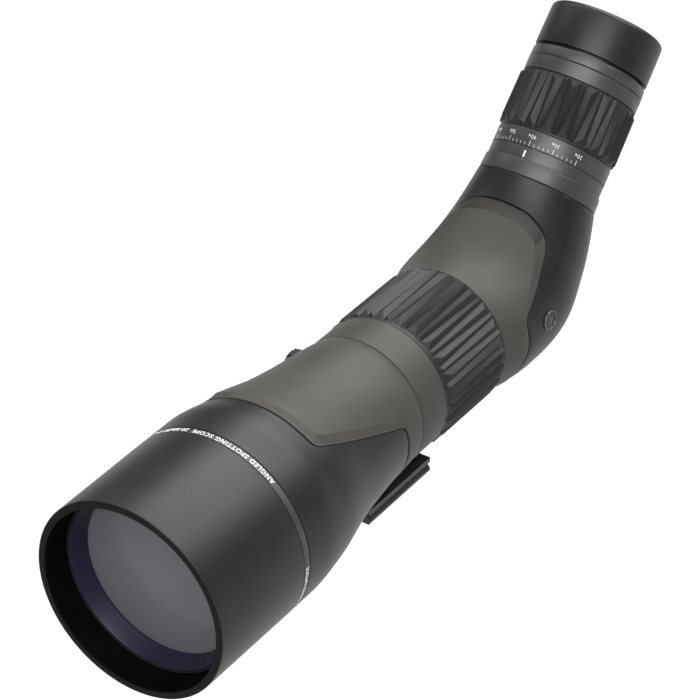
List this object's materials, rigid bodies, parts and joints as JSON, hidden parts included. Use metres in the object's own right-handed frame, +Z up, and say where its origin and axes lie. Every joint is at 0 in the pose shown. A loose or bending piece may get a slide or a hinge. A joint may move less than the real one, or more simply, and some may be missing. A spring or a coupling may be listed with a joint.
{
  "type": "angled spotting scope",
  "caption": "Angled spotting scope with sliding sunshade, rotating tripod collar with dovetail foot, focus ring, zoom eyepiece and twist-up eyecup.",
  "frame": {"origin": "centre of the flat underside of the dovetail foot", "axes": "+Y runs along the tube from the objective to the eyepiece, +Z up, +X to the right when looking along +Y"},
  "size_m": [0.0976, 0.4076, 0.1681],
  "materials": {
    "black_armour": "satin fine-grained moulded rubber armour",
    "olive_paint": "satin olive-grey",
    "grip_rubber": "matte ribbed rubber",
    "eyecup_rubber": "soft satin rubber",
    "ring_metal": "satin dark-grey anodised",
    "black_anodised": "satin black anodised",
    "chassis_metal": "cast and machined, dull",
    "screw_steel": "plain",
    "seal_rubber": "matte",
    "coated_ring": "black with a violet sheen",
    "optical_glass": "polished and anti-reflection coated"
  },
  "bodies": {
    "tripod_collar": {"collar_ring": "olive_paint", "mounting_foot": "black_anodised", "foot_screw_1": "screw_steel", "foot_screw_2": "screw_steel", "tripod_bushing": "screw_steel", "lock_pad": "seal_rubber"},
    "lock_knob": {"lock_knob": "black_anodised", "lock_screw": "screw_steel"},
    "scope_body": {"objective_cell": "black_anodised", "objective_retaining_ring": "coated_ring", "objective_front_lens": "optical_glass", "objective_spacer": "black_anodised", "objective_rear_lens": "optical_glass", "objective_rear_spacer": "black_anodised", "bell_casting": "chassis_metal", "bell_armour": "black_armour", "bell_panel": "olive_paint", "glare_baffle": "black_anodised", "focus_barrel": "chassis_metal", "prism_housing": "chassis_metal", "housing_armour": "black_armour", "housing_panel": "olive_paint", "side_badge": "ring_metal", "prism_plate": "chassis_metal", "prism_cage": "chassis_metal", "prism_screw_1": "screw_steel", "prism_screw_2": "screw_steel", "roof_prism": "optical_glass", "eyepiece_mount_ring": "ring_metal", "index_ring": "ring_metal", "eyepiece_barrel": "chassis_metal", "top_ring": "ring_metal", "cap_ring": "ring_metal", "field_stop": "black_anodised", "eye_lens_tube": "black_anodised", "eye_lens": "optical_glass", "eye_lens_retainer": "black_anodised"},
    "sunshade": {"sunshade": "black_armour", "sunshade_trim_ring": "ring_metal"},
    "focus_ring": {"focus_sleeve": "ring_metal", "focus_grip": "grip_rubber"},
    "focus_carriage": {"focus_lens_cell": "black_anodised", "focus_lens": "optical_glass", "focus_lens_clip": "black_anodised"},
    "zoom_ring": {"zoom_scale_ring": "ring_metal", "zoom_sleeve": "ring_metal", "zoom_grip": "grip_rubber"},
    "zoom_front_group": {"zoom_cell_front": "black_anodised", "zoom_lens_front": "optical_glass"},
    "zoom_rear_group": {"zoom_cell_rear": "black_anodised", "zoom_lens_rear": "optical_glass"},
    "eyecup_twister": {"eyecup_twist_sleeve": "black_anodised"},
    "eyecup": {"eyecup": "eyecup_rubber"}
  },
  "joints": [
    {"name": "body_roll", "type": "hinge", "parent": "tripod_collar", "child": "scope_body", "pos_m": [0, 0.0046, 0.0485], "axis": [0, 1, 0], "continuous": true},
    {"name": "lock_turn", "type": "hinge", "parent": "tripod_collar", "child": "lock_knob", "pos_m": [-0.039, 0.0046, 0.0485], "axis": [-1, 0, 0], "range_deg": [0, 360]},
    {"name": "sunshade_slide", "type": "slide", "parent": "scope_body", "child": "sunshade", "axis": [0, -1, 0], "range_m": [0, 0.036]},
    {"name": "focus_turn", "type": "hinge", "parent": "scope_body", "child": "focus_ring", "pos_m": [0, 0.0393, 0.0485], "axis": [0, 1, 0], "range_deg": [-270, 270]},
    {"name": "focus_travel", "type": "slide", "parent": "scope_body", "child": "focus_carriage", "axis": [0, 1, 0], "range_m": [-0.0052, 0.0052]},
    {"name": "zoom_turn", "type": "hinge", "parent": "scope_body", "child": "zoom_ring", "pos_m": [0, 0.1692, 0.1086], "axis": [0, 0.7071, 0.7071], "range_deg": [-50, 46.8]},
    {"name": "zoom_front_travel", "type": "slide", "parent": "scope_body", "child": "zoom_front_group", "axis": [0, 0.7071, 0.7071], "range_m": [-0.0045, 0.0045]},
    {"name": "zoom_rear_travel", "type": "slide", "parent": "scope_body", "child": "zoom_rear_group", "axis": [0, 0.7071, 0.7071], "range_m": [-0.0025, 0.0025]},
    {"name": "eyecup_twist", "type": "hinge", "parent": "scope_body", "child": "eyecup_twister", "pos_m": [0, 0.1989, 0.1383], "axis": [0, 0.7071, 0.7071], "range_deg": [0, 120]},
    {"name": "eyecup_lift", "type": "slide", "parent": "eyecup_twister", "child": "eyecup", "axis": [0, 0.7071, 0.7071], "range_m": [0, 0.012]}
  ],
  "couplings": [
    {"joint": "focus_travel", "follows": "focus_turn", "m_per_rad": 0.0011},
    {"joint": "zoom_front_travel", "follows": "zoom_turn", "m_per_rad": 0.005},
    {"joint": "zoom_rear_travel", "follows": "zoom_turn", "m_per_rad": -0.0028},
    {"joint": "eyecup_lift", "follows": "eyecup_twist", "m_per_rad": 0.005725}
  ]
}
